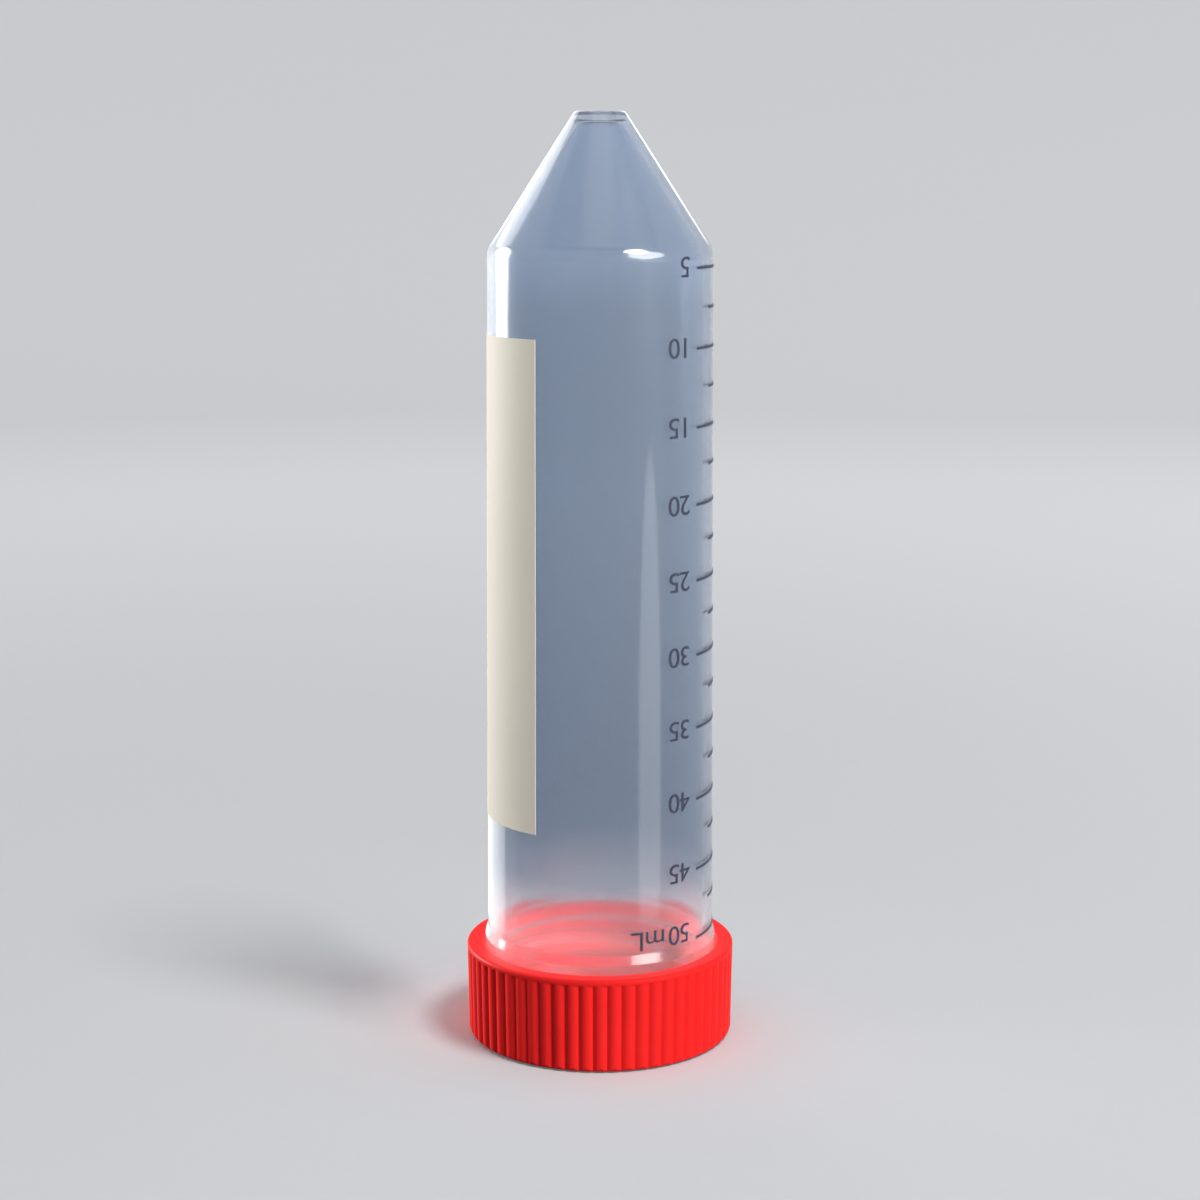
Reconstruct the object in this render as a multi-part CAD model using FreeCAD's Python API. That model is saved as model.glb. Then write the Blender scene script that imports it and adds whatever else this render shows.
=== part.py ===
"""50 ml conical centrifuge tube with a ribbed screw cap, as solids in millimetres.

The tube stands upside down on the closed end of its cap. The origin is the middle of the cap's
flat outer face, +Z runs up the axis to the tip, and -Y is the front. Azimuths are measured from
the front towards +X. Every piece is a STEP file in parts/.
"""

import FreeCAD, Part
import math
import os

# ---------------------------------------------------------------- tube, outside
TUBE_LENGTH = 114.7  # mouth to the flat of the tip
CONE_LENGTH = 16.6
TIP_RADIUS = 3.07
BARREL_RADIUS = 14.45  # barrel beside the collar, its widest end
BARREL_TAPER = 0.55  # the radius is this much less where the cone starts
COLLAR_STEP = 0.4  # the collar stands out from the barrel
COLLAR_LENGTH = 2.4
COLLAR_FLARE = 1.3  # length of the slope between collar and barrel
NECK_LENGTH = 8.4  # threaded stretch, from the mouth to the collar
NECK_STEP = 0.3  # the neck lies in from the barrel
COLLAR_CHAMFER = 0.4
SHOULDER_ROUND = 2.5
TIP_ROUND = 0.5
LIP_ROUND = 0.3

# ---------------------------------------------------------------- tube, inside
WALL = 1.1
CONE_WALL = 1.25  # square to the slope
TIP_THICKNESS = 1.5
INNER_SHOULDER_ROUND = 2.0
INNER_TIP_ROUND = 1.2

# ---------------------------------------------------------------- thread
THREAD_PITCH = 4.0
THREAD_HEIGHT = 0.65
THREAD_ROOT_WIDTH = 1.7
THREAD_CREST_WIDTH = 0.8
THREAD_SINK = 0.3  # how far a ridge's foot reaches into the wall that carries it
THREAD_FADE = 14.0  # degrees over which a ridge's end sinks into the wall
THREAD_FADED_HEIGHT = 0.05
THREAD_CLEARANCE = 0.25  # radial, from each crest to the wall across from it
NECK_THREAD_TURNS = 1.4
NECK_THREAD_START = 1.3  # mouth to the middle of the ridge where it starts
NECK_THREAD_AZIMUTH = 150.0
CAP_THREAD_TURNS = 1.4
CAP_THREAD_START = 1.8  # seal to the middle of the ridge where it starts

# ---------------------------------------------------------------- cap and seal
CAP_HEIGHT = 12.0
CAP_END_THICKNESS = 1.4
SKIRT_WALL = 2.1
CAP_DRAFT = 0.2  # the closed end's radius is this much less than the rim's
CAP_CORNER_ROUND = 1.5
RIM_ROUND = 0.85
RIM_CHAMFER = 0.15  # inside, at the mouth of the cap
BORE_ROUND = 0.3  # where the bore meets the closed end, and the seal's edge
RIB_COUNT = 60
GROOVE_DEPTH = 0.36  # of the V between two ribs
GROOVE_WIDTH = 1.1
GROOVE_LIP = 0.05  # the V's flanks go on this far past the skirt, before the cutter turns straight out
GROOVE_REACH = 0.5  # how far the cutter stands out past the skirt
RIM_BAND = 0.65  # plain band between the ribs and the rim
SEAL_THICKNESS = 0.8
SEAL_EDGE_CLEARANCE = 0.25

# ---------------------------------------------------------------- print
PRINT_THICKNESS = 0.08
PRINT_CLEARANCE = 0.09  # from the barrel to each printed layer
FULL_MARK_VOLUME = 50.0  # millilitres at the lowest line, beside the collar
FULL_MARK_ABOVE_COLLAR = 0.3
MAJOR_STEP = 5.0
MINOR_OFFSET = 2.5
MARK_WIDTH = 0.34
MAJOR_MARK_AZIMUTH = 57.0
MINOR_MARK_AZIMUTH = 72.0
MARK_END_AZIMUTH = 100.0
PATCH_RIGHT_AZIMUTH = -33.5
PATCH_LEFT_AZIMUTH = -115.0
PATCH_BELOW_SHOULDER = 10.3
PATCH_HEIGHT = 60.9

# ---------------------------------------------------------------- worked out from the above
SHOULDER_RADIUS = BARREL_RADIUS - BARREL_TAPER
COLLAR_RADIUS = BARREL_RADIUS + COLLAR_STEP
NECK_RADIUS = BARREL_RADIUS - NECK_STEP
SEAL_TOP = CAP_END_THICKNESS + SEAL_THICKNESS
MOUTH_Z = SEAL_TOP
TIP_Z = MOUTH_Z + TUBE_LENGTH
SHOULDER_Z = TIP_Z - CONE_LENGTH
COLLAR_Z = MOUTH_Z + NECK_LENGTH
FLARE_Z = COLLAR_Z + COLLAR_LENGTH
BARREL_Z = FLARE_Z + COLLAR_FLARE
BARREL_SLOPE = BARREL_TAPER / (SHOULDER_Z - BARREL_Z)
BORE_RADIUS = NECK_RADIUS + THREAD_HEIGHT + THREAD_CLEARANCE
CAP_CREST_RADIUS = NECK_RADIUS + THREAD_CLEARANCE
RIM_RADIUS = BORE_RADIUS + SKIRT_WALL
CAP_END_RADIUS = RIM_RADIUS - CAP_DRAFT

AXIS = FreeCAD.Vector(0, 0, 1)
ORIGIN = FreeCAD.Vector(0, 0, 0)


def barrel_radius(z):
    """Outer radius of the tapered barrel at a height."""
    return BARREL_RADIUS - BARREL_SLOPE * (z - BARREL_Z)


def turned(azimuth):
    """Rotation about the axis that carries the +X direction to an azimuth."""
    return azimuth - 90.0


def outline(corners):
    """Closed wire in the XZ plane through (radius, z, rounding) corners, each rounded by an arc."""
    points = [FreeCAD.Vector(r, 0, z) for r, z, _ in corners]
    starts, ends, middles = [], [], []
    for i, (_, _, rounding) in enumerate(corners):
        here = points[i]
        back = points[i - 1] - here
        on = points[(i + 1) % len(points)] - here
        half = back.getAngle(on) / 2
        reach = 0.0
        if rounding > 0:
            reach = min(rounding / math.tan(half), 0.45 * back.Length, 0.45 * on.Length)
        back.normalize()
        on.normalize()
        starts.append(here + back * reach)
        ends.append(here + on * reach)
        inward = back + on
        inward.normalize()
        radius = reach * math.tan(half)
        middles.append(here + inward * (radius / math.sin(half) - radius) if reach else None)
    edges = []
    for i in range(len(points)):
        if middles[i] is not None:
            edges.append(Part.Arc(starts[i], middles[i], ends[i]).toShape())
        edges.append(Part.LineSegment(ends[i], starts[(i + 1) % len(points)]).toShape())
    return Part.Wire(edges)


def revolved(corners, angle=360.0):
    """Solid of revolution about the axis from (radius, z, rounding) corners."""
    return Part.Face(outline(corners)).revolve(ORIGIN, AXIS, angle)


def ridge_section(foot_radius, crest_radius, height, angle, rise):
    """Trapezoid section of a ridge, turned about the axis and raised. Its foot is sunk in the wall."""
    outward = math.copysign(1.0, crest_radius - foot_radius)
    foot = foot_radius - outward * THREAD_SINK
    flank = (THREAD_ROOT_WIDTH - THREAD_CREST_WIDTH) / 2
    foot_half = THREAD_ROOT_WIDTH / 2 + flank * THREAD_SINK / THREAD_HEIGHT
    crest = foot_radius + outward * height
    crest_half = THREAD_ROOT_WIDTH / 2 - flank * height / THREAD_HEIGHT
    corners = [(foot, -foot_half), (crest, -crest_half), (crest, crest_half), (foot, foot_half)]
    section = Part.makePolygon([FreeCAD.Vector(r, 0, z) for r, z in corners + corners[:1]])
    section.rotate(ORIGIN, AXIS, angle)
    section.translate(FreeCAD.Vector(0, 0, rise))
    return section


def thread_ridge(foot_radius, crest_radius, start_z, azimuth, turns):
    """Right-hand helical ridge that fades into its wall at both ends."""
    height = abs(crest_radius - foot_radius)
    path = Part.Wire(Part.makeHelix(THREAD_PITCH, THREAD_PITCH * turns, foot_radius).Edges)
    full = ridge_section(foot_radius, crest_radius, height, 0, 0)
    ridge = path.makePipeShell([full], True, True)
    for angle, step in ((0.0, -THREAD_FADE), (360.0 * turns, THREAD_FADE)):
        sections = []
        for share, end_height in ((0.0, height), (1.0, THREAD_FADED_HEIGHT)):
            here = angle + share * step
            rise = THREAD_PITCH * here / 360.0
            sections.append(ridge_section(foot_radius, crest_radius, end_height, here, rise))
        ridge = ridge.fuse(Part.makeLoft(sections, True, True))
    ridge.rotate(ORIGIN, AXIS, turned(azimuth))
    ridge.translate(FreeCAD.Vector(0, 0, start_z))
    return ridge


# ---------------------------------------------------------------- tube
def tube_outside():
    """Outer form, solid through: tip, cone, barrel, collar and neck."""
    return revolved(
        [
            (0, MOUTH_Z, 0),
            (NECK_RADIUS, MOUTH_Z, LIP_ROUND),
            (NECK_RADIUS, COLLAR_Z - COLLAR_CHAMFER, 0),
            (COLLAR_RADIUS, COLLAR_Z, 0),
            (COLLAR_RADIUS, FLARE_Z, 0),
            (BARREL_RADIUS, BARREL_Z, 0),
            (SHOULDER_RADIUS, SHOULDER_Z, SHOULDER_ROUND),
            (TIP_RADIUS, TIP_Z, TIP_ROUND),
            (0, TIP_Z, 0),
        ]
    )


def tube_inside():
    """Space inside the tube: it keeps the wall's thickness along the barrel and down the cone."""
    slope = math.atan2(SHOULDER_RADIUS - TIP_RADIUS, CONE_LENGTH)
    shift = CONE_WALL / math.cos(slope)
    narrowing = math.tan(slope)
    shoulder_radius = SHOULDER_RADIUS - WALL
    shoulder_z = SHOULDER_Z - (shift - WALL) / narrowing
    floor_z = TIP_Z - TIP_THICKNESS
    floor_radius = shoulder_radius - narrowing * (floor_z - shoulder_z)
    mouth_radius = barrel_radius(MOUTH_Z) - WALL
    below = MOUTH_Z - WALL
    return revolved(
        [
            (0, below, 0),
            (mouth_radius, below, 0),
            (mouth_radius, MOUTH_Z, 0),
            (shoulder_radius, shoulder_z, INNER_SHOULDER_ROUND),
            (floor_radius, floor_z, INNER_TIP_ROUND),
            (0, floor_z, 0),
        ]
    )


def neck_thread():
    return thread_ridge(
        NECK_RADIUS,
        NECK_RADIUS + THREAD_HEIGHT,
        MOUTH_Z + NECK_THREAD_START,
        NECK_THREAD_AZIMUTH,
        NECK_THREAD_TURNS,
    )


def tube():
    return tube_outside().fuse(neck_thread()).cut(tube_inside())


# ---------------------------------------------------------------- cap
def cap_shell():
    """Closed end and skirt, before the ribs and the thread."""
    outside = revolved(
        [
            (0, 0, 0),
            (CAP_END_RADIUS, 0, CAP_CORNER_ROUND),
            (RIM_RADIUS, CAP_HEIGHT, RIM_ROUND),
            (0, CAP_HEIGHT, 0),
        ]
    )
    bore = revolved(
        [
            (0, CAP_END_THICKNESS, 0),
            (BORE_RADIUS, CAP_END_THICKNESS, BORE_ROUND),
            (BORE_RADIUS, CAP_HEIGHT - RIM_CHAMFER, 0),
            (BORE_RADIUS + RIM_CHAMFER, CAP_HEIGHT, 0),
            (BORE_RADIUS + RIM_CHAMFER, CAP_HEIGHT + RIM_CHAMFER, 0),
            (0, CAP_HEIGHT + RIM_CHAMFER, 0),
        ]
    )
    return outside.cut(bore)


def groove():
    """V between two ribs, along the skirt's slope, from below the cap to the rim band."""
    slope = CAP_DRAFT / CAP_HEIGHT
    low_z = -CAP_CORNER_ROUND
    skirt = CAP_END_RADIUS + slope * low_z
    half = GROOVE_WIDTH / 2 * (1 + GROOVE_LIP / GROOVE_DEPTH)
    corners = [
        (skirt - GROOVE_DEPTH, 0),
        (skirt + GROOVE_LIP, half),
        (skirt + GROOVE_REACH, half),
        (skirt + GROOVE_REACH, -half),
        (skirt + GROOVE_LIP, -half),
    ]
    section = Part.makePolygon([FreeCAD.Vector(x, y, low_z) for x, y in corners + corners[:1]])
    height = CAP_HEIGHT - RIM_BAND - low_z
    return Part.Face(section).extrude(FreeCAD.Vector(slope * height, 0, height))


def cap_grooves():
    first = groove()
    copies = []
    for i in range(RIB_COUNT):
        copy = first.copy()
        copy.rotate(ORIGIN, AXIS, turned(0) + 360.0 * (i + 0.5) / RIB_COUNT)
        copies.append(copy)
    return Part.makeCompound(copies)


def cap_thread():
    """Ridge on the cap's wall, half a pitch from the neck's ridge so that the two mesh."""
    start_z = SEAL_TOP + CAP_THREAD_START
    from_neck = start_z - (MOUTH_Z + NECK_THREAD_START)
    azimuth = NECK_THREAD_AZIMUTH + 360.0 * (from_neck / THREAD_PITCH + 0.5)
    return thread_ridge(BORE_RADIUS, CAP_CREST_RADIUS, start_z, azimuth, CAP_THREAD_TURNS)


def screw_cap():
    return cap_shell().cut(cap_grooves()).fuse(cap_thread())


def seal_disc():
    """Flat disc on the closed end. The tube's mouth presses on it."""
    radius = BORE_RADIUS - SEAL_EDGE_CLEARANCE
    return revolved(
        [
            (0, CAP_END_THICKNESS, 0),
            (radius, CAP_END_THICKNESS, BORE_ROUND),
            (radius, SEAL_TOP, 0),
            (0, SEAL_TOP, 0),
        ]
    )


# ---------------------------------------------------------------- print on the barrel
def printed_band(low_z, high_z, from_azimuth, to_azimuth):
    """Thin layer on the barrel between two heights and two azimuths."""
    low_radius = barrel_radius(low_z) + PRINT_CLEARANCE
    high_radius = barrel_radius(high_z) + PRINT_CLEARANCE
    section = [
        (low_radius, low_z, 0),
        (low_radius + PRINT_THICKNESS, low_z, 0),
        (high_radius + PRINT_THICKNESS, high_z, 0),
        (high_radius, high_z, 0),
    ]
    band = revolved(section, to_azimuth - from_azimuth)
    band.rotate(ORIGIN, AXIS, turned(from_azimuth))
    return band


def mark_height(volume):
    """Height of the line for a volume: the bore holds the difference from the full mark."""
    full_z = BARREL_Z + FULL_MARK_ABOVE_COLLAR
    full_radius = barrel_radius(full_z) - WALL
    missing = (FULL_MARK_VOLUME - volume) * 1000.0
    radius = (full_radius**3 - 3 * BARREL_SLOPE * missing / math.pi) ** (1 / 3)
    return full_z + (full_radius - radius) / BARREL_SLOPE


def graduation_marks():
    """Long lines every 5 ml and a short one halfway between, above each but the first."""
    bands = []
    volume = FULL_MARK_VOLUME
    while volume > 0:
        z = mark_height(volume)
        if z + MARK_WIDTH < SHOULDER_Z:
            bands.append(mark_band(z, MAJOR_MARK_AZIMUTH))
        z = mark_height(volume - MINOR_OFFSET)
        if z + MARK_WIDTH < SHOULDER_Z and volume > MAJOR_STEP:
            bands.append(mark_band(z, MINOR_MARK_AZIMUTH))
        volume -= MAJOR_STEP
    return Part.makeCompound(bands)


def mark_band(z, start_azimuth):
    return printed_band(z - MARK_WIDTH / 2, z + MARK_WIDTH / 2, start_azimuth, MARK_END_AZIMUTH)


def writing_patch():
    top = SHOULDER_Z - PATCH_BELOW_SHOULDER
    return printed_band(top - PATCH_HEIGHT, top, PATCH_LEFT_AZIMUTH, PATCH_RIGHT_AZIMUTH)


def main():
    os.makedirs("parts", exist_ok=True)
    nodes = {
        "screw_cap": screw_cap(),
        "seal_disc": seal_disc(),
        "tube": tube(),
        "graduation_marks": graduation_marks(),
        "writing_patch": writing_patch(),
    }
    for name, shape in nodes.items():
        shape.exportStep(f"parts/{name}.step")
        box = shape.BoundBox
        print(f"{name}: {len(shape.Solids)} solid(s), {shape.Volume:.1f} mm3, valid {shape.isValid()},")
        print(f"  z {box.ZMin:.2f} to {box.ZMax:.2f}, radius {max(box.XMax, box.YMax):.2f}")


main()
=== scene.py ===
"""Dresses the 50 ml conical tube: clear moulded body, ribbed red cap, seal, printed scale and writing patch.

Everything is in metres and stands on the origin with the axis along +Z. The tube is upside down on its
cap. Azimuths are degrees from the front (-Y) towards the right (+X).
"""

import math

import bmesh
import bpy
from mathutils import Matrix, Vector


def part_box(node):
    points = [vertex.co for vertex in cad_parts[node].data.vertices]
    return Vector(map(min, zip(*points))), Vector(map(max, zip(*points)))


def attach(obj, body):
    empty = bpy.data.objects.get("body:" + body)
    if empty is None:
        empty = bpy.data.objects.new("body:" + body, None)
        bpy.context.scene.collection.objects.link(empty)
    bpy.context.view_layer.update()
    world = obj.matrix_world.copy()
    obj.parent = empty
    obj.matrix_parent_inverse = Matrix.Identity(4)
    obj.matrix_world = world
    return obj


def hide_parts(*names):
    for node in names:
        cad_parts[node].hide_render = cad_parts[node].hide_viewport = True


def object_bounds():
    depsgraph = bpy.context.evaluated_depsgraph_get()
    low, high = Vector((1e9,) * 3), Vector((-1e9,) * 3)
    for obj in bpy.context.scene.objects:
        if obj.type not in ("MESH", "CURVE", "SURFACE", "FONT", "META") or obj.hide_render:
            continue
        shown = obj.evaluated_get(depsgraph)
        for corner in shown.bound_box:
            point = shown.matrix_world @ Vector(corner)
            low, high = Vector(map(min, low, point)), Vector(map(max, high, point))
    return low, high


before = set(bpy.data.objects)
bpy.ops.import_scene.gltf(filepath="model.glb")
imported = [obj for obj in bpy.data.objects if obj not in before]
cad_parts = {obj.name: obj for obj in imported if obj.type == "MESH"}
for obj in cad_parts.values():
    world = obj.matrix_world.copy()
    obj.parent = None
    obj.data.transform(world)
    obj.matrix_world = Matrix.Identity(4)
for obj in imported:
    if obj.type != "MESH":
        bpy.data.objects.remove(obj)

bl_info = {
    "name": "Conical tube",
    "version": (1, 0, 0),
    "blender": (4, 5, 0),
    "location": "3D View > Sidebar > Conical tube",
    "description": "Builds a 50 ml conical tube that stands on its screw cap",
    "category": "Add Mesh",
}

CAD_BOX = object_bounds()
TUBE_LOW, TUBE_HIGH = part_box("tube")
CAP_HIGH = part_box("screw_cap")[1]
SEAL_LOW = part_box("seal_disc")[0]
PATCH_LOW, PATCH_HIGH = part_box("writing_patch")


# ---------------------------------------------------------------- properties
def size(name, description, default):
    """A length in metres, shown in the scene's unit."""
    return bpy.props.FloatProperty(
        name=name, description=description, default=default, min=0.0, precision=5, unit="LENGTH"
    )


def turn(name, description, degrees):
    """An angle, kept in radians."""
    return bpy.props.FloatProperty(
        name=name, description=description, default=math.radians(degrees), subtype="ANGLE"
    )


def count(name, description, default):
    return bpy.props.IntProperty(name=name, description=description, default=default, min=3)


def colour(name, description, default):
    """A linear colour."""
    return bpy.props.FloatVectorProperty(
        name=name, description=description, default=default, size=3, min=0.0, max=1.0, subtype="COLOR"
    )


def share(name, description, default, most=1.0):
    return bpy.props.FloatProperty(
        name=name, description=description, default=default, min=-most, max=most, subtype="FACTOR"
    )


class TubeSizes(bpy.types.PropertyGroup):
    """The clear moulded body."""

    mouth: size("Mouth", "Height of the mouth's lip above the floor", TUBE_LOW.z)
    tip: size("Tip", "Height of the flat tip above the floor", TUBE_HIGH.z)
    cone: size("Cone", "Length of the cone along the axis", 0.0166)
    tip_radius: size("Tip radius", "Radius of the flat tip", 0.00307)
    radius: size("Barrel radius", "Radius of the barrel beside the collar", 0.01445)
    taper: size("Taper", "How much the barrel's radius shrinks towards the cone", 0.00055)
    collar_step: size("Collar step", "How far the collar stands out from the barrel", 0.0004)
    collar: size("Collar", "Length of the collar", 0.0024)
    flare: size("Flare", "Length of the slope between collar and barrel", 0.0013)
    neck: size("Neck", "Length of the threaded neck", 0.0084)
    neck_step: size("Neck step", "How far the neck lies in from the barrel", 0.0003)
    wall: size("Wall", "Thickness of the barrel's wall", 0.0011)
    cone_wall: size("Cone wall", "Thickness of the cone's wall", 0.00125)
    tip_wall: size("Tip wall", "Thickness of the flat tip", 0.0015)
    shoulder_round: size("Shoulder round", "Rounding between cone and barrel, outside", 0.0025)
    edge_round: size("Edge round", "Rounding of the collar's and the neck's small edges", 0.00025)
    segments: count("Segments", "Steps around the body", 240)


class ThreadSizes(bpy.types.PropertyGroup):
    """The screw thread of neck and cap."""

    pitch: size("Pitch", "Rise of the thread in one turn", 0.004)
    height: size("Height", "How far a ridge stands out", 0.00065)
    foot: size("Foot", "Width of a ridge at its foot", 0.0017)
    crest: size("Crest", "Width of a ridge at its crest", 0.0008)
    clearance: size("Clearance", "Gap between each crest and the wall across from it", 0.00025)
    fade: turn("Fade", "Turn over which a ridge sinks into its wall", 14.0)
    turns: bpy.props.FloatProperty(name="Turns", description="Length of each ridge in turns", default=1.4)
    neck_start: size("Neck start", "From the mouth to the neck ridge's middle", 0.0013)
    neck_azimuth: turn("Neck azimuth", "Where the neck's ridge starts", 150.0)
    cap_start: size("Cap start", "From the seal to the cap ridge's middle", 0.0018)
    row: size("Row", "Spacing of the rows that carry a ridge", 0.0001)


class CapSizes(bpy.types.PropertyGroup):
    """The ribbed screw cap and its seal."""

    height: size("Height", "Height of the cap", CAP_HIGH.z)
    end: size("End", "Thickness of the closed end", SEAL_LOW.z)
    skirt: size("Skirt", "Thickness of the skirt at the rim", 0.0021)
    draft: size("Draft", "How much smaller the closed end's radius is than the rim's", 0.0002)
    corner: size("Corner", "Rounding round the closed end", 0.0015)
    rim_round: size("Rim round", "Rounding of the rim, outside", 0.00085)
    rim_chamfer: size("Rim chamfer", "Chamfer of the rim, inside", 0.00015)
    ribs: count("Ribs", "Number of ribs", 60)
    rib_round: size("Rib round", "Radius of each rib's rounded face", 0.00116)
    groove_soft: size("Groove softness", "Half width of the rounding at the bottom of each groove", 0.00015)
    rib_end: size("Rib end", "Length over which a groove runs out at the rim's band", 0.0004)
    band: size("Band", "Plain band between ribs and rim", 0.00065)
    per_rib: count("Per rib", "Steps around the skirt for each rib", 12)
    seal_gap: size("Seal gap", "Gap round the seal", 0.00025)
    seal_round: size("Seal round", "Rounding of the seal's edges", 0.0002)


class PrintSizes(bpy.types.PropertyGroup):
    """The printed scale and the writing patch."""

    film: size("Film", "How far the ink stands out", 0.00007)
    sunk: size("Sunk", "How far the ink bites into the wall", 0.00002)
    line: size("Line", "Width of a scale line", 0.00034)
    above_collar: size("Above collar", "From the barrel's end to the fullest line", 0.0003)
    long_azimuth: turn("Long lines", "Where the long lines start", 57.0)
    short_azimuth: turn("Short lines", "Where the short lines start", 72.0)
    end_azimuth: turn("Line ends", "Where all lines end", 100.0)
    digit: size("Digit", "Height of a digit", 0.00245)
    digit_width: share("Digit width", "Width of the letters as a share of the font's own", 1.12, 2.0)
    digit_weight: share("Digit weight", "How much the letters are thickened, as a share of height", -0.004)
    letter_space: share("Letter space", "Width of a letter's place as a share of the font's own", 0.93)
    word_space: share("Word space", "Width of a space as a share of the font's own", 0.6)
    digit_azimuth: turn("Digits", "Where each number's first digit starts", 51.0)
    lift: size("Lift", "How far each number's middle lies above its line", 0.0002)
    full_lift: size("Full lift", "The same for the fullest line, whose number keeps off the collar", 0.00125)
    patch_left: turn("Patch left", "Left edge of the writing patch", -115.0)
    patch_right: turn("Patch right", "Right edge of the writing patch", -33.5)


class Finishes(bpy.types.PropertyGroup):
    """Colours of the finishes."""

    clear: colour("Clear plastic", "Tint of the milky clear plastic", (0.49, 0.555, 0.65))
    neck: colour("Clear neck", "Its tint at the collar and neck", (0.95, 0.92, 0.94))
    cap: colour("Cap", "Red of the cap", (0.87, 0.020, 0.019))
    seal: colour("Seal", "Seal disc", (0.93, 0.035, 0.045))
    ink: colour("Ink", "Ink of lines and numbers", (0.018, 0.022, 0.045))
    patch: colour("Patch", "Ink of the writing patch", (0.76, 0.71, 0.60))


class StageSizes(bpy.types.PropertyGroup):
    """Floor, lamps and camera."""

    ground: colour("Ground", "Colour of floor and backdrop", (0.62, 0.63, 0.65))
    floor: size("Floor", "Radius of the flat part of the floor", 0.8)
    sweep: size("Sweep", "Radius of the curve from floor to wall", 0.5)
    wall: size("Wall", "Height of the backdrop", 1.6)
    distance: size("Distance", "Camera to axis, along the floor", 0.301)
    height: size("Height", "Camera above the floor", 0.1112)
    pitch: turn("Pitch", "How far the camera looks down", 10.32)
    lens: bpy.props.FloatProperty(name="Lens", description="Focal length", default=72.7, unit="CAMERA")


GROUPS = {
    "tube_sizes": TubeSizes,
    "tube_thread": ThreadSizes,
    "tube_cap": CapSizes,
    "tube_print": PrintSizes,
    "tube_finishes": Finishes,
    "tube_stage": StageSizes,
}


# ---------------------------------------------------------------- shader nodes
class Signal:
    """A node's output. Arithmetic on it adds Math nodes."""

    def __init__(self, finish, socket):
        self.finish = finish
        self.socket = socket

    def _math(self, operation, first, second):
        return self.finish.add("ShaderNodeMath", {"operation": operation}, {0: first, 1: second})

    def __add__(self, other):
        return self._math("ADD", self, other)

    def __radd__(self, other):
        return self._math("ADD", other, self)

    def __mul__(self, other):
        return self._math("MULTIPLY", self, other)

    def __rmul__(self, other):
        return self._math("MULTIPLY", other, self)


class Finish:
    """A material and its nodes."""

    def __init__(self, name):
        self.material = bpy.data.materials.new(name)
        self.material.use_nodes = True
        self.nodes = self.material.node_tree.nodes
        self.links = self.material.node_tree.links
        self.nodes.clear()

    def add(self, kind, settings, sockets, output=0):
        """Adds a node: its settings first (stops are a ramp's), then values and links. Returns one output."""
        node = self.nodes.new(kind)
        for name, value in settings.items():
            if name == "stops":
                fill_ramp(node.color_ramp, value)
            else:
                setattr(node, name, value)
        for name, value in sockets.items():
            if isinstance(value, Signal):
                self.links.new(value.socket, node.inputs[name])
            else:
                node.inputs[name].default_value = value
        return Signal(self, node.outputs[output]) if len(node.outputs) else None

    def place(self, stretch):
        """Object coordinates, each axis multiplied by its stretch."""
        at = self.add("ShaderNodeTexCoord", {}, {}, "Object")
        return self.add("ShaderNodeVectorMath", {"operation": "MULTIPLY"}, {0: at, 1: stretch})

    def noise(self, stretch, detail, roughness=0.5):
        """Noise between 0 and 1, with a cell of a metre over the stretch along each axis."""
        sockets = {"Vector": self.place(stretch), "Scale": 1.0, "Detail": detail, "Roughness": roughness}
        return self.add("ShaderNodeTexNoise", {}, sockets, 0)

    def ramp(self, factor, stops):
        return self.add("ShaderNodeValToRGB", {"stops": stops}, {"Fac": factor}, "Color")

    def bump(self, height, distance):
        return self.add("ShaderNodeBump", {}, {"Height": height, "Distance": distance}, "Normal")

    def show(self, surface):
        self.add("ShaderNodeOutputMaterial", {}, {"Surface": surface})
        return self.material


def fill_ramp(ramp, stops):
    """Sets a ramp's stops, each a place and a linear colour."""
    while len(ramp.elements) > 1:
        ramp.elements.remove(ramp.elements[-1])
    for i, (at, rgb) in enumerate(stops):
        element = ramp.elements[0] if i == 0 else ramp.elements.new(at)
        element.position = at
        element.color = (*rgb, 1.0)


def shade(rgb, factor):
    """A colour made lighter or darker."""
    return tuple(min(1.0, c * factor) for c in rgb)


def clear_finish(rgb, pale):
    """Clear polypropylene that bends what lies behind it, with flow lines and a paler tint at the neck; the
    tint is darkened towards the barrel's foot as painted shade and lightened on the cone as painted light.
    """
    f = Finish("clear_plastic")
    flow = f.noise((700.0, 700.0, 25.0), 1.5)
    waves = f.noise((160.0, 160.0, 45.0), 2.0)
    height = f.add("ShaderNodeSeparateXYZ", {}, {0: f.place((1.0, 1.0, 1.0))}, "Z")
    along = f.add("ShaderNodeMapRange", {}, {"Value": height, "From Min": 0.0, "From Max": TUBE_HIGH.z})
    # Painted shade darkens the barrel's tint towards its foot, and painted light lightens the cone's tint.
    tint_and_painted_light = [(0.137, pale), (0.205, shade(rgb, 0.9)), (0.8, rgb)]
    tint_and_painted_light += [(0.87, shade(rgb, 1.16)), (1.0, shade(rgb, 1.22))]
    plastic = f.add(
        "ShaderNodeBsdfPrincipled",
        {},
        {
            "Base Color": f.ramp(along + 0.012 * flow, tint_and_painted_light),
            "Roughness": 0.08 + 0.08 * flow,
            "IOR": 1.49,
            "Transmission Weight": 0.95,
            "Normal": f.bump(waves, 0.000025),
        },
    )
    lit = f.add("ShaderNodeBsdfTransparent", {}, {"Color": (0.97, 0.975, 0.98, 1.0)})
    shadow = f.add("ShaderNodeLightPath", {}, {}, "Is Shadow Ray")
    return f.show(f.add("ShaderNodeMixShader", {}, {0: shadow, 1: plastic, 2: lit}))


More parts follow.
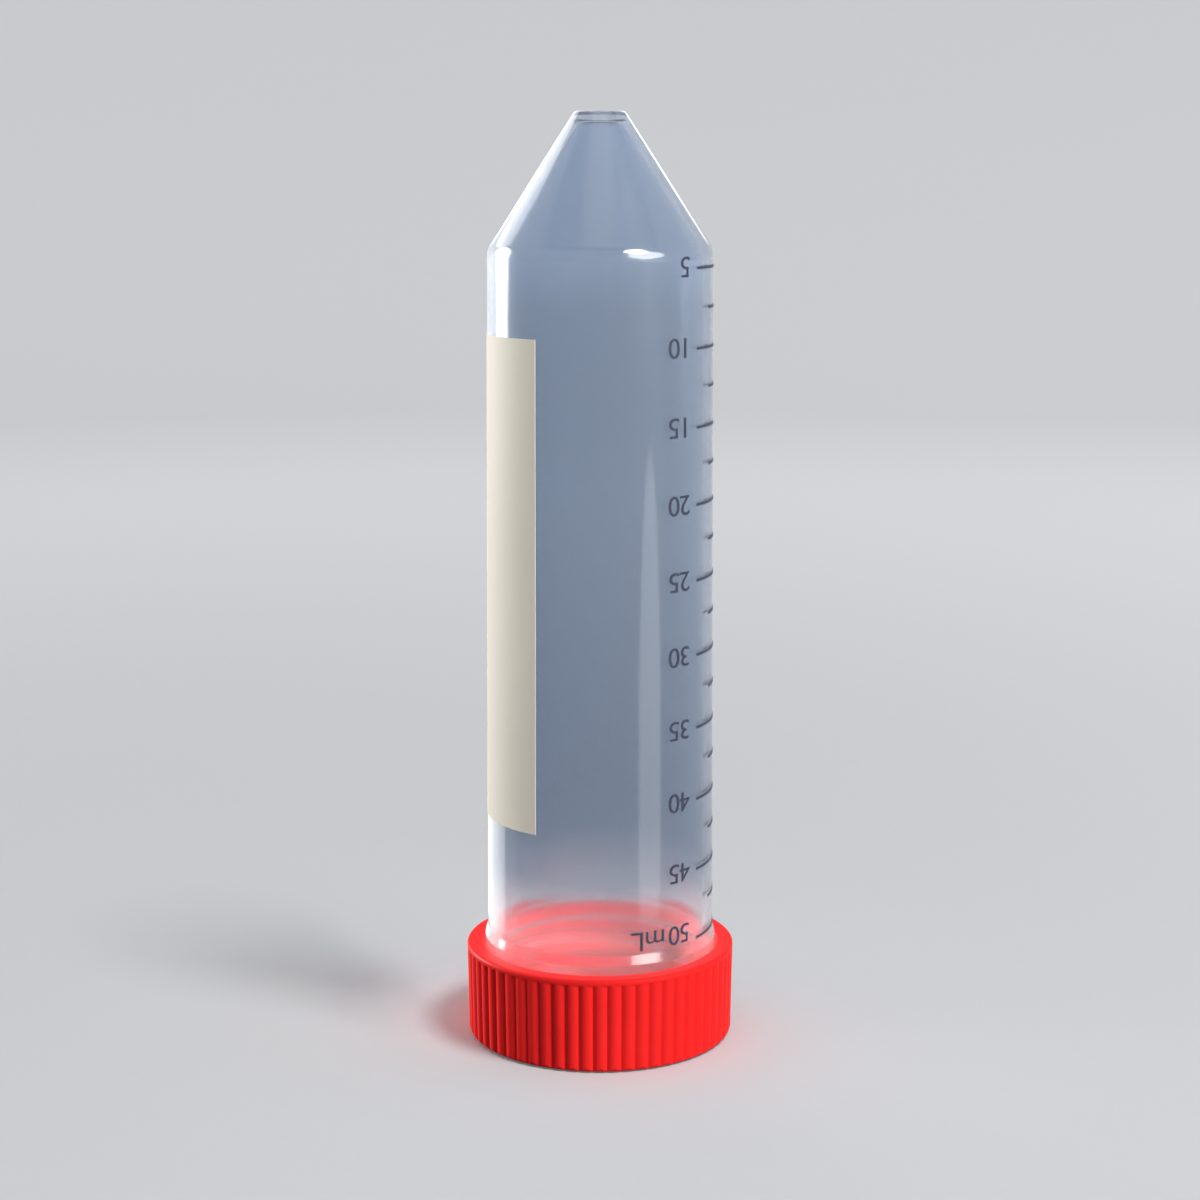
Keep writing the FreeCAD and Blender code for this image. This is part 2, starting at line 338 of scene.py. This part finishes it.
def cap_finish(rgb):
    """Satin red polyethylene with a faint grain."""
    f = Finish("red_cap_plastic")
    cloud = f.noise((220.0, 220.0, 220.0), 3.0)
    grain = f.noise((5200.0, 5200.0, 5200.0), 2.0)
    plastic = f.add(
        "ShaderNodeBsdfPrincipled",
        {},
        {
            "Base Color": f.ramp(cloud, [(0.3, shade(rgb, 0.93)), (0.7, rgb)]),
            "Roughness": 0.36 + 0.14 * cloud,
            "IOR": 1.5,
            "Specular IOR Level": 0.05,
            "Normal": f.bump(grain, 0.000012),
        },
    )
    return f.show(plastic)


def seal_finish(rgb):
    """Closed foam of the seal disc."""
    f = Finish("seal_foam")
    cells = f.add("ShaderNodeTexVoronoi", {}, {"Vector": f.place((3000.0,) * 3), "Scale": 1.0}, "Distance")
    foam = f.add(
        "ShaderNodeBsdfPrincipled",
        {},
        {
            "Base Color": f.ramp(cells, [(0.0, shade(rgb, 0.9)), (0.6, rgb)]),
            "Roughness": 0.55,
            "Normal": f.bump(cells, 0.00003),
        },
    )
    return f.show(foam)


def ink_finish(rgb):
    """Dark screen-printing ink, slightly uneven."""
    f = Finish("scale_ink")
    blots = f.noise((2600.0, 2600.0, 2600.0), 3.0)
    ink = f.add(
        "ShaderNodeBsdfPrincipled",
        {},
        {
            "Base Color": f.ramp(blots, [(0.35, rgb), (0.75, shade(rgb, 1.8))]),
            "Roughness": 0.34 + 0.2 * blots,
            "Normal": f.bump(blots, 0.00001),
        },
    )
    return f.show(ink)


def patch_finish(rgb):
    """Cream ink that a pencil bites on: matt, with a fine tooth."""
    f = Finish("writing_patch_ink")
    cloud = f.noise((90.0, 90.0, 35.0), 3.0)
    tooth = f.noise((6500.0, 6500.0, 6500.0), 3.0)
    ink = f.add(
        "ShaderNodeBsdfPrincipled",
        {},
        {
            "Base Color": f.ramp(cloud, [(0.3, shade(rgb, 0.95)), (0.7, rgb)]),
            "Roughness": 0.55 + 0.2 * tooth,
            "Normal": f.bump(tooth, 0.00002),
        },
    )
    return f.show(ink)


# ---------------------------------------------------------------- shapes
def spot(radius, azimuth, z):
    """Point at a radius, an azimuth in radians and a height."""
    return (radius * math.sin(azimuth), -radius * math.cos(azimuth), z)


def rounded(corners, step=math.radians(9.0), ease=0.00012, longest=0.0025):
    """Points (radius, height) through corners (radius, height, rounding).

    Rounded corners become arcs. Each straight stretch gets a point near both ends, which keeps its
    shading flat, and more where it is long.
    """
    path = []
    for i, (r, z, rounding) in enumerate(corners):
        here = Vector((r, z))
        if rounding == 0 or i in (0, len(corners) - 1):
            path.append([here])
            continue
        back = Vector(corners[i - 1][:2]) - here
        on = Vector(corners[i + 1][:2]) - here
        half = back.angle(on) / 2
        reach = min(rounding / math.tan(half), 0.45 * back.length, 0.45 * on.length)
        radius = reach * math.tan(half)
        centre = here + (back.normalized() + on.normalized()).normalized() * radius / math.sin(half)
        start = here + back.normalized() * reach - centre
        end = here + on.normalized() * reach - centre
        steps = max(2, math.ceil((math.pi - 2 * half) / step))
        arc = []
        for k in range(steps + 1):
            mix = start * (1 - k / steps) + end * (k / steps)
            arc.append(centre + mix.normalized() * radius)
        path.append(arc)
    points = [path[0][0]]
    for before, after in zip(path, path[1:]):
        a, b = before[-1], after[0]
        span = b - a
        if span.length > 4 * ease:
            inner = math.ceil(max(1.0, (span.length - 2 * ease) / longest))
            first, last = ease / span.length, 1 - ease / span.length
            points += [a + span * (first + (last - first) * k / inner) for k in range(inner + 1)]
        points += after
    return [(max(p.x, 0.0), p.y) for p in points]


def ring(radius, z, segments, swell=None):
    """Corners of one ring round the axis, or its one point. swell(azimuth, radius, z) gives a radius."""
    if radius < 1e-7:
        return [(0.0, 0.0, z)]
    made = []
    for k in range(segments):
        azimuth = 2 * math.pi * k / segments
        made.append(spot(swell(azimuth, radius, z) if swell else radius, azimuth, z))
    return made


def skin(rings):
    """Vertices and faces that join each ring to the next. Rings may differ in count by a whole factor."""
    vertices, faces, starts = [], [], []
    for one in rings:
        starts.append(len(vertices))
        vertices += one
    for i in range(len(rings) - 1):
        upper, lower = len(rings[i]), len(rings[i + 1])
        most, least = max(upper, lower), min(upper, lower)
        each = most // least
        for k in range(least if least > 1 else most):
            if least == 1:
                high = [starts[i] + k, starts[i] + (k + 1) % upper] if upper > 1 else [starts[i]]
                low = [starts[i + 1] + k, starts[i + 1] + (k + 1) % lower] if lower > 1 else [starts[i + 1]]
            else:
                spread = [(k * each + n) % most for n in range(each + 1)]
                narrow = [k, (k + 1) % least]
                high = [starts[i] + n for n in (spread if upper == most else narrow)]
                low = [starts[i + 1] + n for n in (narrow if upper == most else spread)]
                if upper == lower:
                    low = [starts[i + 1] + n for n in narrow]
            faces.append([high[0], *low, *reversed(high[1:])])
    return vertices, faces


def piece(name, vertices, faces, material, sharp=40.0):
    """A smooth-shaded mesh object whose edges are sharp past an angle."""
    mesh = bpy.data.meshes.new(name)
    mesh.from_pydata(vertices, [], faces)
    mesh.validate()
    mesh.materials.append(material)
    mesh.shade_smooth()
    mesh.set_sharp_from_angle(angle=math.radians(sharp))
    made = bpy.data.objects.new(name, mesh)
    bpy.context.scene.collection.objects.link(made)
    return made


def ridge(thread, start, azimuth, inward):
    """A swell function: the helical ridge that starts at a height and an azimuth, on a wall."""
    fade = thread.fade / (2 * math.pi)

    def swell(here, radius, z):
        most = 0.0
        first = (here - azimuth) / (2 * math.pi)
        first -= math.floor(first) + 1
        while first <= thread.turns + fade:
            if first >= -fade:
                past = max(0.0, -first, first - thread.turns) / fade
                height = thread.height * (1 - past)
                off = abs(z - start - thread.pitch * first)
                flank = (thread.foot - thread.crest) / 2
                rise = (thread.foot / 2 - off) / flank * thread.height
                most = max(most, min(height, rise))
            first += 1
        return radius - most if inward else radius + most

    return swell


def rows(low, high, step):
    """Heights from low to high in even rows."""
    steps = max(1, math.ceil(abs(high - low) / step))
    return [low + (high - low) * k / steps for k in range(steps + 1)]


def barrel_radius(tube, z):
    """Outer radius of the tapered barrel at a height."""
    foot = tube.mouth + tube.neck + tube.collar + tube.flare
    slope = tube.taper / (tube.tip - tube.cone - foot)
    return tube.radius - slope * (z - foot)


def tube_rings(tube, thread):
    """Rings from the tip down the outside, round the mouth and up the inside to the floor of the cone."""
    n = tube.segments
    collar_z = tube.mouth + tube.neck
    flare_z = collar_z + tube.collar
    barrel_z = flare_z + tube.flare
    shoulder_z = tube.tip - tube.cone
    shoulder = tube.radius - tube.taper
    collar = tube.radius + tube.collar_step
    neck = tube.radius - tube.neck_step
    edge = tube.edge_round
    outside = rounded(
        [
            (0, tube.tip, 0),
            (tube.tip_radius, tube.tip, 2 * edge),
            (shoulder, shoulder_z, tube.shoulder_round),
            (tube.radius, barrel_z, 3 * edge),
            (collar, flare_z, 2 * edge),
            (collar, collar_z, edge),
            (neck, collar_z - tube.collar_step, edge),
            (neck, collar_z - 2 * tube.collar_step, 0),
        ]
    )
    lip = rounded(
        [
            (neck, tube.mouth + 3 * edge, 0),
            (neck, tube.mouth, edge),
            (neck - tube.wall, tube.mouth, edge),
            (neck - tube.wall, tube.mouth + 3 * edge, 0),
        ],
        longest=0.0005,
    )
    lean = math.atan2(shoulder - tube.tip_radius, tube.cone)
    inner_shoulder = shoulder - tube.wall
    inner_shoulder_z = shoulder_z - (tube.cone_wall / math.cos(lean) - tube.wall) / math.tan(lean)
    floor_z = tube.tip - tube.tip_wall
    floor_radius = inner_shoulder - math.tan(lean) * (floor_z - inner_shoulder_z)
    mouth_inside = barrel_radius(tube, tube.mouth) - tube.wall
    inside = rounded(
        [
            (mouth_inside, tube.mouth + 4 * edge, 0),
            (inner_shoulder, inner_shoulder_z, 0.8 * tube.shoulder_round),
            (floor_radius, floor_z, 0.0012),
            (0, floor_z, 0),
        ]
    )
    swell = ridge(thread, tube.mouth + thread.neck_start, thread.neck_azimuth, False)
    rings = [ring(r, z, n) for r, z in outside]
    rings += [ring(neck, z, n, swell) for z in rows(outside[-1][1], lip[0][1], thread.row)[1:]]
    rings += [ring(r, z, n) for r, z in lip[1:]]
    rings += [ring(r, z, n) for r, z in inside]
    return rings


def ribbed(cap, inner, rim):
    """A swell function: rounded ribs down the skirt's slope, with a groove between each two."""
    pitch = 2 * math.pi / cap.ribs
    top = cap.height - cap.band
    slope = cap.draft / cap.height

    def swell(azimuth, here, z):
        if here < inner or z >= top:
            return here
        off = (azimuth + pitch / 2) % pitch - pitch / 2
        face = rim - cap.draft + slope * z
        middle = face - cap.rib_round
        rib = middle * math.cos(off) + math.sqrt(cap.rib_round**2 - (middle * math.sin(off)) ** 2)
        near = max(1 - (pitch / 2 - abs(off)) * face / cap.groove_soft, 0.0)
        rib += near * near * cap.groove_soft / 3
        sunk = 1 - min(1.0, (top - z) / cap.rib_end)
        return min(here, face - (face - rib) * math.sqrt(1 - sunk * sunk))

    return swell


def cap_rings(cap, tube, thread):
    """Rings from the middle of the closed end up the threaded bore, over the rim and down the ribs."""
    inner, outer = cap.ribs * cap.per_rib // 3, cap.ribs * cap.per_rib
    bore = tube.radius - tube.neck_step + thread.height + thread.clearance
    rim = bore + cap.skirt
    seal = tube.mouth
    floor = rounded(
        [(0, cap.end, 0), (bore, cap.end, 0.0003), (bore, seal + 0.0002, 0)],
        ease=0.00006,
    )
    start = seal + thread.cap_start
    from_neck = start - (tube.mouth + thread.neck_start)
    azimuth = thread.neck_azimuth + 2 * math.pi * (from_neck / thread.pitch + 0.5)
    swell = ridge(thread, start, azimuth, True)
    top = start + thread.pitch * (thread.turns + thread.fade / (2 * math.pi)) + thread.foot / 2
    lip = rounded(
        [
            (bore, top, 0),
            (bore, cap.height - cap.rim_chamfer, 0.0001),
            (bore + cap.rim_chamfer, cap.height, 0.0001),
            (rim - 1.5 * cap.rim_round, cap.height, 0),
        ],
        ease=0.00005,
    )
    rings = [ring(r, z, inner) for r, z in floor]
    rings += [ring(bore, z, inner, swell) for z in rows(floor[-1][1], top, thread.row)[1:]]
    rings += [ring(r, z, inner) for r, z in lip[1:]]
    skirt = rounded(
        [
            (rim - cap.rim_round - 0.0001, cap.height, 0),
            (rim, cap.height, cap.rim_round),
            (rim - cap.draft, 0, cap.corner),
            (rim - cap.corner - 0.0005, 0, 0),
            (0, 0, 0),
        ],
        step=math.radians(6.0),
    )
    ribs_top = cap.height - cap.band
    above = [p for p in skirt if p[1] > ribs_top]
    below = [p for p in skirt if p[1] < ribs_top - cap.rib_end]
    (r0, z0), (r1, z1) = above[-1], below[0]
    ends = rows(ribs_top, ribs_top - cap.rib_end, cap.rib_end / 8)
    between = [(r0 + (r1 - r0) * (z - z0) / (z1 - z0), z) for z in ends]
    inner_edge = bore - 0.0025
    ribs = ribbed(cap, inner_edge, rim)
    for r, z in above + between + below:
        if r > inner_edge:
            rings.append(ring(r, z, outer, ribs))
        else:
            rings.append(ring(r, z, inner))
    return rings


def plate(low, high, left, right, base, top, across, up):
    """A thin layer on a round wall, as vertices and faces. base(z) and top(z) are its two radii."""
    vertices, faces = [], []
    azimuths = rows(left, right, across)
    heights = rows(low, high, up)
    wide, tall = len(azimuths), len(heights)
    for radius in (base, top):
        vertices += [spot(radius(z), a, z) for z in heights for a in azimuths]
    layer = wide * tall

    def at(side, row, column):
        return side * layer + row * wide + column

    for row in range(tall - 1):
        for column in range(wide - 1):
            corners = [(row, column), (row, column + 1), (row + 1, column + 1), (row + 1, column)]
            faces.append([at(1, *c) for c in corners])
            faces.append([at(0, *c) for c in reversed(corners)])
    border = [(0, c) for c in range(wide - 1)] + [(r, wide - 1) for r in range(tall - 1)]
    border += [(tall - 1, c) for c in range(wide - 1, 0, -1)] + [(r, 0) for r in range(tall - 1, 0, -1)]
    for one, two in zip(border, border[1:] + border[:1]):
        faces.append([at(0, *one), at(0, *two), at(1, *two), at(1, *one)])
    return vertices, faces


def joined(parts):
    """Several lists of vertices and faces as one."""
    vertices, faces = [], []
    for more, theirs in parts:
        faces += [[len(vertices) + n for n in face] for face in theirs]
        vertices += more
    return vertices, faces


def line_height(tube, sizes, volume):
    """Height of the line for a volume in millilitres: the tapered bore holds the difference from 50."""
    foot = tube.mouth + tube.neck + tube.collar + tube.flare
    slope = tube.taper / (tube.tip - tube.cone - foot)
    full = foot + sizes.above_collar
    bore = barrel_radius(tube, full) - tube.wall
    missing = (50 - volume) * 1e-6
    radius = (bore**3 - 3 * slope * missing / math.pi) ** (1 / 3)
    return full + (bore - radius) / slope


def flat_text(words, sizes):
    """Mesh of a word in the plane, its digits from 0 up and its first letter at 0, from -1 to 1 thick."""
    curve = bpy.data.curves.new("letters", "FONT")
    curve.body = words
    curve.size = 1.0
    curve.extrude = 1.0
    curve.offset = sizes.digit_weight
    curve.space_character = sizes.letter_space
    curve.space_word = sizes.word_space
    curve.resolution_u = 5
    text = bpy.data.objects.new("letters", curve)
    bpy.context.scene.collection.objects.link(text)
    bpy.context.view_layer.update()
    mesh = bpy.data.meshes.new_from_object(text.evaluated_get(bpy.context.evaluated_depsgraph_get()))
    bpy.data.objects.remove(text)
    bpy.data.curves.remove(curve)
    shape = bmesh.new()
    shape.from_mesh(mesh)
    bpy.data.meshes.remove(mesh)
    bmesh.ops.remove_doubles(shape, verts=shape.verts, dist=1e-5)
    foot = min(v.co.y for v in shape.verts)
    grown = sizes.digit / (max(v.co.y for v in shape.verts) - foot)
    for v in shape.verts:
        v.co.x *= sizes.digit_width * grown
        v.co.y = (v.co.y - foot) * grown
    return shape


def wrapped_text(words, z, tube, sizes):
    """A word on the barrel, its letters upright when the tube stands on its tip."""
    shape = flat_text(words, sizes)
    left, right = (end(v.co.x for v in shape.verts) for end in (min, max))
    for x in rows(left, right, 0.0003)[1:-1]:
        everything = shape.verts[:] + shape.edges[:] + shape.faces[:]
        bmesh.ops.bisect_plane(shape, geom=everything, plane_co=(x, 0, 0), plane_no=(1, 0, 0), dist=1e-7)
    for v in shape.verts:
        height = z + sizes.digit / 2 - v.co.y
        wall = barrel_radius(tube, height)
        azimuth = sizes.digit_azimuth - v.co.x / wall
        v.co = spot(wall + (sizes.film if v.co.z > 0 else -sizes.sunk), azimuth, height)
    bmesh.ops.recalc_face_normals(shape, faces=shape.faces)
    shape.verts.index_update()
    made = [v.co[:] for v in shape.verts], [[v.index for v in f.verts] for f in shape.faces]
    shape.free()
    return made


# ---------------------------------------------------------------- operators
class TUBE_OT_body(bpy.types.Operator):
    """Adds the clear moulded body with its collar, neck, thread and cone"""

    bl_idname = "conical_tube.body"
    bl_label = "Add tube"

    def execute(self, context):
        scene = context.scene
        rings = tube_rings(scene.tube_sizes, scene.tube_thread)
        material = clear_finish(tuple(scene.tube_finishes.clear), tuple(scene.tube_finishes.neck))
        made = piece("moulded_tube", *skin(rings), material, sharp=60.0)
        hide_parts("tube")
        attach(made, "tube")
        return {"FINISHED"}


class TUBE_OT_cap(bpy.types.Operator):
    """Adds the ribbed screw cap"""

    bl_idname = "conical_tube.cap"
    bl_label = "Add screw cap"

    def execute(self, context):
        scene = context.scene
        rings = cap_rings(scene.tube_cap, scene.tube_sizes, scene.tube_thread)
        made = piece("ribbed_cap", *skin(rings), cap_finish(tuple(scene.tube_finishes.cap)))
        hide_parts("screw_cap")
        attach(made, "cap")
        return {"FINISHED"}


class TUBE_OT_seal(bpy.types.Operator):
    """Adds the seal disc in the cap's closed end"""

    bl_idname = "conical_tube.seal"
    bl_label = "Add seal disc"

    def execute(self, context):
        cap = context.scene.tube_cap
        tube, thread = context.scene.tube_sizes, context.scene.tube_thread
        radius = tube.radius - tube.neck_step + thread.height + thread.clearance - cap.seal_gap
        low, high = cap.end, tube.mouth
        profile = rounded(
            [(0, high, 0), (radius, high, cap.seal_round), (radius, low, cap.seal_round), (0, low, 0)],
            longest=0.002,
        )
        rings = [ring(r, z, tube.segments) for r, z in profile]
        made = piece("seal_liner", *skin(rings), seal_finish(tuple(context.scene.tube_finishes.seal)))
        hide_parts("seal_disc")
        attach(made, "seal")
        return {"FINISHED"}


class TUBE_OT_scale(bpy.types.Operator):
    """Adds the scale's lines and numbers"""

    bl_idname = "conical_tube.scale"
    bl_label = "Add printed scale"

    def execute(self, context):
        scene = context.scene
        tube, sizes = scene.tube_sizes, scene.tube_print
        ink = ink_finish(tuple(scene.tube_finishes.ink))

        def base(z):
            return barrel_radius(tube, z) - sizes.sunk

        def top(z):
            return barrel_radius(tube, z) + sizes.film

        lines, words = [], []
        for step in range(1, 20):
            volume = 50 - 2.5 * (step - 1)
            z = line_height(tube, sizes, volume)
            start = sizes.long_azimuth if step % 2 else sizes.short_azimuth
            half = sizes.line / 2
            lines.append(plate(z - half, z + half, start, sizes.end_azimuth, base, top, 0.025, half))
            if step % 2:
                label, lift = ("50 mL", sizes.full_lift) if step == 1 else (str(round(volume)), sizes.lift)
                words.append(wrapped_text(label, z + lift, tube, sizes))
        marks = piece("scale_lines", *joined(lines), ink)
        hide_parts("graduation_marks")
        numerals = piece("scale_numerals", *joined(words), ink)
        for made in (marks, numerals):
            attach(made, "tube")
        return {"FINISHED"}


class TUBE_OT_patch(bpy.types.Operator):
    """Adds the cream patch to write on"""

    bl_idname = "conical_tube.patch"
    bl_label = "Add writing patch"

    def execute(self, context):
        scene = context.scene
        tube, sizes = scene.tube_sizes, scene.tube_print

        def base(z):
            return barrel_radius(tube, z) - sizes.sunk

        def top(z):
            return barrel_radius(tube, z) + sizes.film

        layer = plate(
            PATCH_LOW.z, PATCH_HIGH.z, sizes.patch_left, sizes.patch_right, base, top, 0.025, 0.0015
        )
        made = piece("writing_panel", *layer, patch_finish(tuple(scene.tube_finishes.patch)))
        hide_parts("writing_patch")
        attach(made, "tube")
        return {"FINISHED"}


def seen(f):
    """1 for what the camera sees by itself, in gloss or through the clear plastic."""
    kinds = ("Is Camera Ray", "Is Glossy Ray", "Is Transmission Ray")
    camera, gloss_ray, through = (f.add("ShaderNodeLightPath", {}, {}, kind) for kind in kinds)
    clamped = {"operation": "ADD", "use_clamp": True}
    return f.add("ShaderNodeMath", clamped, {0: camera, 1: gloss_ray + through})


def ground_finish(rgb):
    """Plain pale matt card, open from below so that the cap's end can be looked at."""
    f = Finish("pale_card")
    far = f.add("ShaderNodeVectorMath", {"operation": "LENGTH"}, {0: f.place((1.0, 1.0, 1.0))}, "Value")
    glow = f.add(
        "ShaderNodeMapRange",
        {"interpolation_type": "SMOOTHSTEP"},
        {"Value": far, "From Min": 0.0, "From Max": 0.6, "To Min": 0.17, "To Max": 0.55},
    )
    shown = seen(f)
    matt = f.add("ShaderNodeBsdfDiffuse", {}, {"Color": f.ramp(shown, [(0.0, shade(rgb, 0.5)), (1.0, rgb)])})
    shine = f.ramp(shown * glow, [(0.0, (0.0, 0.0, 0.0)), (1.0, rgb)])
    light = f.add("ShaderNodeEmission", {}, {"Color": shine})
    card = f.add("ShaderNodeAddShader", {}, {0: matt, 1: light})
    through = f.add("ShaderNodeBsdfTransparent", {}, {})
    behind = f.add("ShaderNodeNewGeometry", {}, {}, "Backfacing")
    return f.show(f.add("ShaderNodeMixShader", {}, {0: behind, 1: card, 2: through}))


def lamp(name, azimuth, elevation, distance, wide, tall, watts, aim, shape="ELLIPSE"):
    """A softbox at an azimuth and an elevation in degrees that faces a point. It does not show itself."""
    data = bpy.data.lights.new(name, "AREA")
    data.shape = shape
    data.size, data.size_y = wide, tall
    data.energy = watts
    made = bpy.data.objects.new(name, data)
    flat = distance * math.cos(math.radians(elevation))
    up = distance * math.sin(math.radians(elevation))
    made.location = Vector(spot(flat, math.radians(azimuth), aim.z + up))
    made.rotation_euler = (made.location - aim).to_track_quat("Z", "Y").to_euler()
    made.visible_camera = False
    made.visible_transmission = False
    bpy.context.scene.collection.objects.link(made)
    return made


def only_on(made, *names):
    """Lets a lamp light some pieces alone."""
    lit = bpy.data.collections.new(made.name)
    for name in names:
        lit.objects.link(bpy.data.objects[name])
    made.light_linking.receiver_collection = lit


def gloss(made):
    """Makes a lamp a card that only the clear body's gloss picks up."""
    made.visible_diffuse = False
    only_on(made, "moulded_tube")


class TUBE_OT_stage(bpy.types.Operator):
    """Adds the pale floor, the soft lamps and the camera"""

    bl_idname = "conical_tube.stage"
    bl_label = "Add stage"

    def execute(self, context):
        scene = context.scene
        sizes = scene.tube_stage
        edge = sizes.floor + sizes.sweep
        profile = rounded(
            [(edge, sizes.wall, 0), (edge, -0.00005, sizes.sweep), (0, -0.00005, 0)], longest=0.1
        )
        rings = [ring(r, z, 96) for r, z in reversed(profile)]
        floor = piece("floor", *skin(rings), ground_finish(tuple(sizes.ground)))
        middle = Vector((0, 0, (CAD_BOX[0].z + CAD_BOX[1].z) / 2))
        pieces = ("moulded_tube", "ribbed_cap", "seal_liner")
        pieces += ("scale_lines", "scale_numerals", "writing_panel")
        only_on(lamp("key_lamp", 48, 20, 0.8, 0.56, 0.45, 8.0, middle), *pieces)
        only_on(lamp("floor_lamp", 48, 57, 1.2, 0.4, 0.4, 9.0, middle), "floor")
        lamp("top_lamp", 0, 88, 1.2, 1.1, 1.1, 3.5, middle)
        only_on(lamp("side_lamp", -118, 10, 0.8, 0.4, 0.5, 6.8, middle), "writing_panel", "moulded_tube")
        only_on(lamp("edge_lamp", -122, 8, 0.8, 0.4, 0.3, 10.0, middle), "ribbed_cap")
        patch_lamp = lamp("patch_lamp", -70, 35, 0.22, 0.1, 0.08, 0.1, middle)
        patch_lamp.visible_glossy = False
        only_on(patch_lamp, "writing_panel")
        low, half, high = (Vector((0, 0, z)) for z in (0.02, 0.06, 0.1))
        gloss(lamp("left_card", -128, 0, 0.05, 0.05, 0.12, 0.016, half, "RECTANGLE"))
        gloss(lamp("low_card", -128, 0, 0.05, 0.05, 0.04, 0.009, low, "RECTANGLE"))
        gloss(lamp("soft_card", -103, 0, 0.06, 0.04, 0.12, 0.005, half, "RECTANGLE"))
        gloss(lamp("streak_card", 47, 0, 0.075, 0.03, 0.1, 0.016, low))
        glint_card = lamp("glint_card", 42, 36, 0.3, 0.12, 0.13, 0.1, high)
        glint_card.data.spread = math.radians(24)
        gloss(glint_card)
        gloss(lamp("cone_card", -137, 28, 0.12, 0.07, 0.05, 0.03, high, "RECTANGLE"))
        gloss(lamp("back_card", 180, 16, 0.14, 0.12, 0.04, 0.04, high, "RECTANGLE"))
        world = bpy.data.worlds.new("studio")
        scene.world = world
        world.use_nodes = True
        background = world.node_tree.nodes["Background"]
        background.inputs["Color"].default_value = (0.95, 0.97, 1.0, 1.0)
        background.inputs["Strength"].default_value = 0.13
        camera = bpy.data.cameras.new("camera")
        camera.lens = sizes.lens
        camera.sensor_width = 36.0
        camera.clip_start = 0.01
        made = bpy.data.objects.new("camera", camera)
        made.location = (0, -sizes.distance, sizes.height)
        made.rotation_euler = (math.pi / 2 - sizes.pitch, 0, 0)
        scene.collection.objects.link(made)
        scene.camera = made
        scene.view_settings.view_transform = "Standard"
        return {"FINISHED"}


class TUBE_PT_panel(bpy.types.Panel):
    """Lists the pieces and their sizes"""

    bl_idname = "TUBE_PT_panel"
    bl_label = "Conical tube"
    bl_space_type = "VIEW_3D"
    bl_region_type = "UI"
    bl_category = "Conical tube"

    def draw(self, context):
        for operator in OPERATORS:
            self.layout.operator(operator.bl_idname)
        for name, group in GROUPS.items():
            box = self.layout.box()
            box.label(text=group.__doc__)
            for prop in group.__annotations__:
                box.prop(getattr(context.scene, name), prop)


OPERATORS = [TUBE_OT_body, TUBE_OT_cap, TUBE_OT_seal, TUBE_OT_scale, TUBE_OT_patch, TUBE_OT_stage]


def register():
    for kind in [*GROUPS.values(), *OPERATORS, TUBE_PT_panel]:
        bpy.utils.register_class(kind)
    for name, group in GROUPS.items():
        setattr(bpy.types.Scene, name, bpy.props.PointerProperty(type=group))


def unregister():
    for name in GROUPS:
        delattr(bpy.types.Scene, name)
    for kind in reversed([*GROUPS.values(), *OPERATORS, TUBE_PT_panel]):
        bpy.utils.unregister_class(kind)


def main():
    register()
    bpy.ops.conical_tube.body()
    bpy.ops.conical_tube.cap()
    bpy.ops.conical_tube.seal()
    bpy.ops.conical_tube.scale()
    bpy.ops.conical_tube.patch()
    bpy.ops.conical_tube.stage()


if __name__ == "__main__":
    main()
